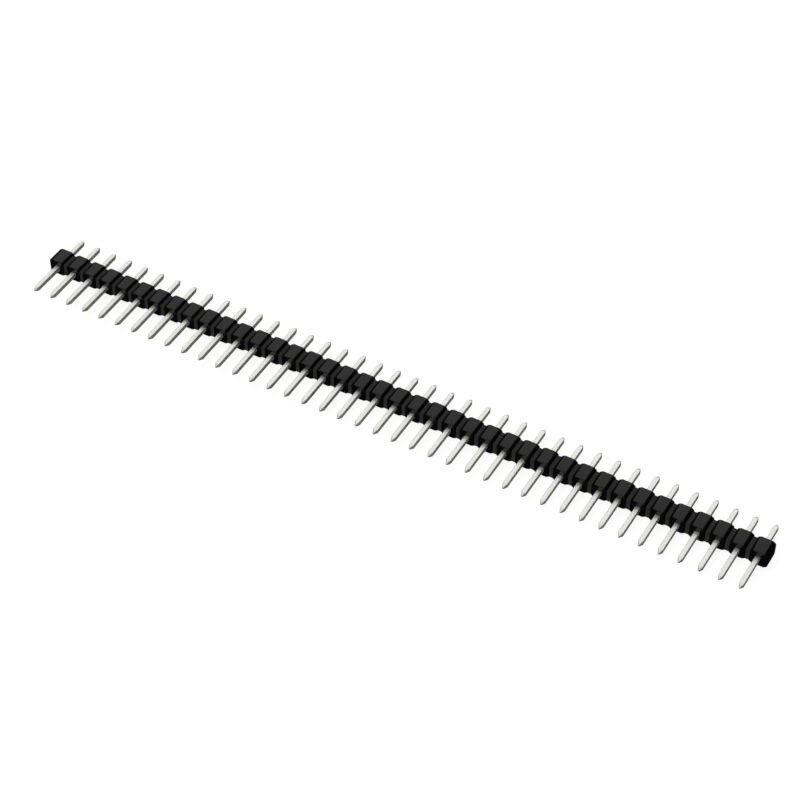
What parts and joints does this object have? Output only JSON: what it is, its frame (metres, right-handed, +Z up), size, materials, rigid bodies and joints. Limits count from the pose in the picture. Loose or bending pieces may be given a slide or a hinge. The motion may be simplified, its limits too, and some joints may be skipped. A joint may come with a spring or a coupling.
{
  "type": "pin header strip",
  "caption": "Straight single-row break-away pin header: square pins pass through a black moulded housing, long posts on one side and short solder tails on the other.",
  "frame": {"origin": "under the middle of the row: halfway along the row, halfway along the pins, on the surface that the housing's side lies on", "axes": "+X along the row from the first pin to the last, +Y towards the short solder tails, +Z up, across the pins"},
  "size_m": [0.1016, 0.011, 0.0023],
  "materials": {
    "housing_plastic": "black moulded polyester, glossy faces and satin break-off webs",
    "pin_plating": "tin-plated brass wire, satin with faint drawing lines along the pin"
  },
  "bodies": {
    "root": {"housing": "housing_plastic", "pin_01": "pin_plating", "pin_02": "pin_plating", "pin_03": "pin_plating", "pin_04": "pin_plating", "pin_05": "pin_plating", "pin_06": "pin_plating", "pin_07": "pin_plating", "pin_08": "pin_plating", "pin_09": "pin_plating", "pin_10": "pin_plating", "pin_11": "pin_plating", "pin_12": "pin_plating", "pin_13": "pin_plating", "pin_14": "pin_plating", "pin_15": "pin_plating", "pin_16": "pin_plating", "pin_17": "pin_plating", "pin_18": "pin_plating", "pin_19": "pin_plating", "pin_20": "pin_plating", "pin_21": "pin_plating", "pin_22": "pin_plating", "pin_23": "pin_plating", "pin_24": "pin_plating", "pin_25": "pin_plating", "pin_26": "pin_plating", "pin_27": "pin_plating", "pin_28": "pin_plating", "pin_29": "pin_plating", "pin_30": "pin_plating", "pin_31": "pin_plating", "pin_32": "pin_plating", "pin_33": "pin_plating", "pin_34": "pin_plating", "pin_35": "pin_plating", "pin_36": "pin_plating", "pin_37": "pin_plating", "pin_38": "pin_plating", "pin_39": "pin_plating", "pin_40": "pin_plating"}
  },
  "joints": []
}
